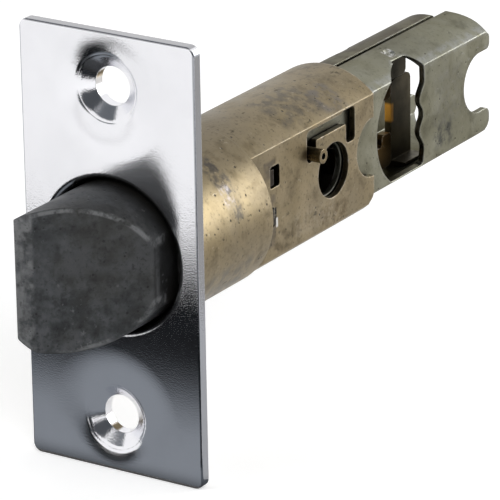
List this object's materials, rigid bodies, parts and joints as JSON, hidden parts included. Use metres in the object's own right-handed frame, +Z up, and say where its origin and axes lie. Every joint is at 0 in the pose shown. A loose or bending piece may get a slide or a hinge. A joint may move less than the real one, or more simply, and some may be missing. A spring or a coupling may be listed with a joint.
{
  "type": "tubular door latch",
  "caption": "Spring latch for a door's edge: chrome faceplate, bevelled sliding bolt, flatted housing tube and a tail case that draws out for a longer backset.",
  "frame": {"origin": "on the bolt's axis in the faceplate's back face, midway between the screw holes", "axes": "+X across the faceplate towards the bevelled side of the bolt, +Y back into the door, +Z up along the faceplate"},
  "size_m": [0.0254, 0.0953, 0.0572],
  "materials": {
    "chrome_plate": "polished chrome plating",
    "yellow_steel": "yellow passivated zinc plating, scuffed",
    "spring_steel": "bright spring wire",
    "grey_zinc": "tumbled zinc casting, dull",
    "dark_steel": "oiled dark steel",
    "grey_steel": "grey zinc plating",
    "yellow_spring": "yellow passivated spring steel"
  },
  "bodies": {
    "housing": {"faceplate": "chrome_plate", "housing_tube": "yellow_steel", "spring_seat": "yellow_steel", "bolt_spring": "spring_steel"},
    "bolt": {"latch_bolt": "grey_zinc", "drawbar": "dark_steel", "drawbar_pin": "dark_steel"},
    "tail": {"tail_case": "grey_steel", "guide_web": "dark_steel", "lock_spring": "yellow_spring", "lock_spring_rivet": "grey_steel"},
    "retractor": {"retractor_plate_right": "yellow_steel", "retractor_plate_left": "yellow_steel", "retractor_rivet_upper": "grey_steel", "retractor_rivet_lower": "grey_steel", "link_clip": "spring_steel", "link_clip_rivet": "grey_steel"}
  },
  "joints": [
    {"name": "bolt_slide", "type": "slide", "parent": "housing", "child": "bolt", "axis": [0, 1, 0], "range_m": [0, 0.0127], "stiffness_N_per_m": 300, "springref_m": -0.012, "deforming": ["bolt_spring"]},
    {"name": "backset_slide", "type": "slide", "parent": "housing", "child": "tail", "axis": [0, 1, 0], "range_m": [0, 0.00953], "deforming": ["lock_spring", "link_clip"]},
    {"name": "retractor_slide", "type": "slide", "parent": "tail", "child": "retractor", "axis": [0, 1, 0], "range_m": [0, 0.0127]}
  ],
  "couplings": [
    {"joint": "retractor_slide", "follows": "bolt_slide", "ratio": 1}
  ]
}
